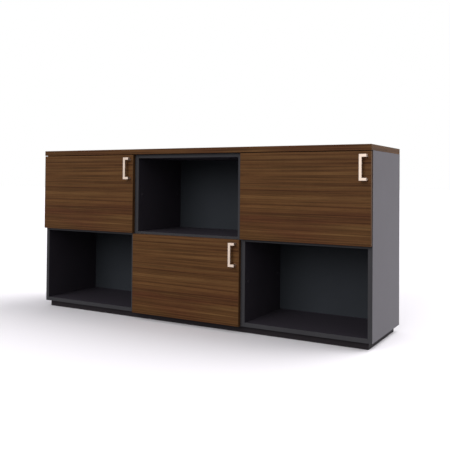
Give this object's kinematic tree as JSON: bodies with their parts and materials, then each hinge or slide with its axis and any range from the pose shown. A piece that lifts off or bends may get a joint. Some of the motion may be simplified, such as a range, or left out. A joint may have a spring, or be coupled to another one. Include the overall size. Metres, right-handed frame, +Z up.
{
  "type": "office credenza",
  "caption": "Low office cabinet in a row of equal modules on a recessed plinth, with doors and open bays in a checkerboard and C-shaped pulls.",
  "frame": {"origin": "bottom centre of the bounding box, on the floor", "axes": "+X to the right seen from the front along the longest side, doors face -Y, +Z up"},
  "size_m": [1.8, 0.46, 0.835],
  "materials": {
    "walnut_board": "walnut-look melamine on particle board, level grain, satin",
    "graphite_board": "graphite melamine on particle board, fine satin",
    "plinth_board": "black melamine, satin",
    "champagne_metal": "cast zinc with champagne lacquer, satin",
    "nickel_steel": "stamped steel, nickel plated",
    "zinc_screw": "zinc plated steel",
    "cam_zinc": "die-cast zinc, raw",
    "beech_dowel": "fluted beech",
    "clear_bumper": "soft translucent polyurethane",
    "black_bolt": "black zinc plated steel"
  },
  "bodies": {
    "carcass": {"worktop": "walnut_board", "plinth_front_rail": "plinth_board", "plinth_back_rail": "plinth_board", "plinth_left_end": "plinth_board", "plinth_right_end": "plinth_board", "plinth_cross_rails": "plinth_board", "left_cabinet_left_side": "graphite_board", "left_cabinet_right_side": "graphite_board", "left_cabinet_bottom_board": "graphite_board", "left_cabinet_shelf": "graphite_board", "left_cabinet_top_board": "graphite_board", "left_cabinet_back_panel": "graphite_board", "centre_cabinet_left_side": "graphite_board", "centre_cabinet_right_side": "graphite_board", "centre_cabinet_bottom_board": "graphite_board", "centre_cabinet_shelf": "graphite_board", "centre_cabinet_top_board": "graphite_board", "centre_cabinet_back_panel": "graphite_board", "right_cabinet_left_side": "graphite_board", "right_cabinet_right_side": "graphite_board", "right_cabinet_bottom_board": "graphite_board", "right_cabinet_shelf": "graphite_board", "right_cabinet_top_board": "graphite_board", "right_cabinet_back_panel": "graphite_board", "dowels": "beech_dowel", "cam_bolts": "zinc_screw", "cam_locks": "cam_zinc", "joining_nuts": "black_bolt", "joining_screws": "black_bolt", "worktop_screws": "black_bolt", "plinth_brackets": "nickel_steel", "bracket_screws": "zinc_screw", "hinge_mounting_plates": "nickel_steel", "hinge_plate_screws": "zinc_screw", "hinge_arms": "nickel_steel", "hinge_arm_pins": "zinc_screw"},
    "left_door_leaf": {"left_door": "walnut_board", "left_door_handle": "champagne_metal", "left_handle_screws": "zinc_screw", "left_door_bumpers": "clear_bumper", "left_hinge_cups": "nickel_steel", "left_cup_screws": "zinc_screw", "left_cup_pins": "zinc_screw"},
    "left_door_links": {"left_hinge_links": "nickel_steel"},
    "centre_door_leaf": {"centre_door": "walnut_board", "centre_door_handle": "champagne_metal", "centre_handle_screws": "zinc_screw", "centre_door_bumpers": "clear_bumper", "centre_hinge_cups": "nickel_steel", "centre_cup_screws": "zinc_screw", "centre_cup_pins": "zinc_screw"},
    "centre_door_links": {"centre_hinge_links": "nickel_steel"},
    "right_door_leaf": {"right_door": "walnut_board", "right_door_handle": "champagne_metal", "right_handle_screws": "zinc_screw", "right_door_bumpers": "clear_bumper", "right_hinge_cups": "nickel_steel", "right_cup_screws": "zinc_screw", "right_cup_pins": "zinc_screw"},
    "right_door_links": {"right_hinge_links": "nickel_steel"}
  },
  "joints": [
    {"name": "left_door_link_swing", "type": "hinge", "parent": "carcass", "child": "left_door_links", "pos_m": [-0.8648, -0.1826, 0.62], "axis": [0, 0, 1], "range_deg": [0, 27]},
    {"name": "left_door_swing", "type": "hinge", "parent": "left_door_links", "child": "left_door_leaf", "pos_m": [-0.8884, -0.1918, 0.62], "axis": [0, 0, -1], "range_deg": [0, 127]},
    {"name": "centre_door_link_swing", "type": "hinge", "parent": "carcass", "child": "centre_door_links", "pos_m": [-0.2648, -0.1826, 0.22], "axis": [0, 0, 1], "range_deg": [0, 27]},
    {"name": "centre_door_swing", "type": "hinge", "parent": "centre_door_links", "child": "centre_door_leaf", "pos_m": [-0.2884, -0.1918, 0.22], "axis": [0, 0, -1], "range_deg": [0, 127]},
    {"name": "right_door_link_swing", "type": "hinge", "parent": "carcass", "child": "right_door_links", "pos_m": [0.3352, -0.1826, 0.62], "axis": [0, 0, 1], "range_deg": [0, 27]},
    {"name": "right_door_swing", "type": "hinge", "parent": "right_door_links", "child": "right_door_leaf", "pos_m": [0.3116, -0.1918, 0.62], "axis": [0, 0, -1], "range_deg": [0, 127]}
  ],
  "couplings": [
    {"joint": "left_door_link_swing", "follows": "left_door_swing", "ratio": 0.2126},
    {"joint": "centre_door_link_swing", "follows": "centre_door_swing", "ratio": 0.2126},
    {"joint": "right_door_link_swing", "follows": "right_door_swing", "ratio": 0.2126}
  ]
}
